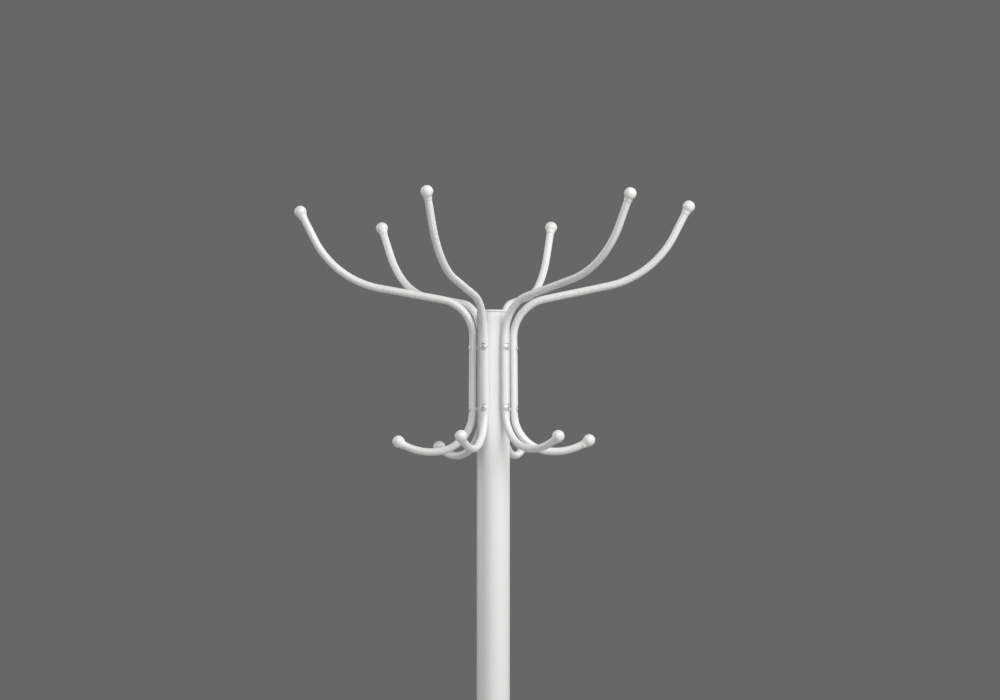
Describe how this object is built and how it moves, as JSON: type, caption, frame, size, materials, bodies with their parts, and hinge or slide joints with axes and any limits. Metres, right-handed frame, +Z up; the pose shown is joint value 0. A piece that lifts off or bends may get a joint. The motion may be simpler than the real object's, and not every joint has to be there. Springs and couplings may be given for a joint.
{
  "type": "coat stand",
  "caption": "Free-standing coat stand: round steel pole with S-shaped ball-ended hook arms screwed around its top, on a round weighted base.",
  "frame": {"origin": "on the floor, on the pole's axis, under the middle of the base", "axes": "+Z up along the pole; -Y is the front; +X is the right-hand side seen from the front"},
  "size_m": [0.4628, 0.4471, 1.7756],
  "materials": {
    "white_paint": "white powder coat, semi-gloss, on steel",
    "white_plastic": "white moulded plastic, semi-gloss",
    "nickel_plate": "bright nickel-plated steel screws",
    "zinc_plate": "zinc-plated steel",
    "cast_iron": "grey cast iron, black primer",
    "rubber": "grey rubber"
  },
  "bodies": {
    "root": {"pole_top_section": "white_paint", "pole_middle_section": "white_paint", "pole_bottom_section": "white_paint", "pole_cap": "white_plastic", "upper_joint_stud": "zinc_plate", "upper_joint_socket": "zinc_plate", "lower_joint_stud": "zinc_plate", "lower_joint_socket": "zinc_plate", "pole_foot_socket": "zinc_plate", "arm_right": "white_paint", "arm_back_right": "white_paint", "arm_back_left": "white_paint", "arm_left": "white_paint", "arm_front_left": "white_paint", "arm_front_right": "white_paint", "hat_ball_right": "white_plastic", "coat_ball_right": "white_plastic", "hat_ball_back_right": "white_plastic", "coat_ball_back_right": "white_plastic", "hat_ball_back_left": "white_plastic", "coat_ball_back_left": "white_plastic", "hat_ball_left": "white_plastic", "coat_ball_left": "white_plastic", "hat_ball_front_left": "white_plastic", "coat_ball_front_left": "white_plastic", "hat_ball_front_right": "white_plastic", "coat_ball_front_right": "white_plastic", "upper_screw_right": "nickel_plate", "upper_insert_right": "zinc_plate", "lower_screw_right": "nickel_plate", "lower_insert_right": "zinc_plate", "upper_screw_back_right": "nickel_plate", "upper_insert_back_right": "zinc_plate", "lower_screw_back_right": "nickel_plate", "lower_insert_back_right": "zinc_plate", "upper_screw_back_left": "nickel_plate", "upper_insert_back_left": "zinc_plate", "lower_screw_back_left": "nickel_plate", "lower_insert_back_left": "zinc_plate", "upper_screw_left": "nickel_plate", "upper_insert_left": "zinc_plate", "lower_screw_left": "nickel_plate", "lower_insert_left": "zinc_plate", "upper_screw_front_left": "nickel_plate", "upper_insert_front_left": "zinc_plate", "lower_screw_front_left": "nickel_plate", "lower_insert_front_left": "zinc_plate", "upper_screw_front_right": "nickel_plate", "upper_insert_front_right": "zinc_plate", "lower_screw_front_right": "nickel_plate", "lower_insert_front_right": "zinc_plate", "base_ring": "rubber", "base_plate": "zinc_plate", "base_weight": "cast_iron", "base_cover": "white_paint", "base_collar": "white_plastic", "base_washer": "zinc_plate", "base_bolt": "zinc_plate"}
  },
  "joints": []
}
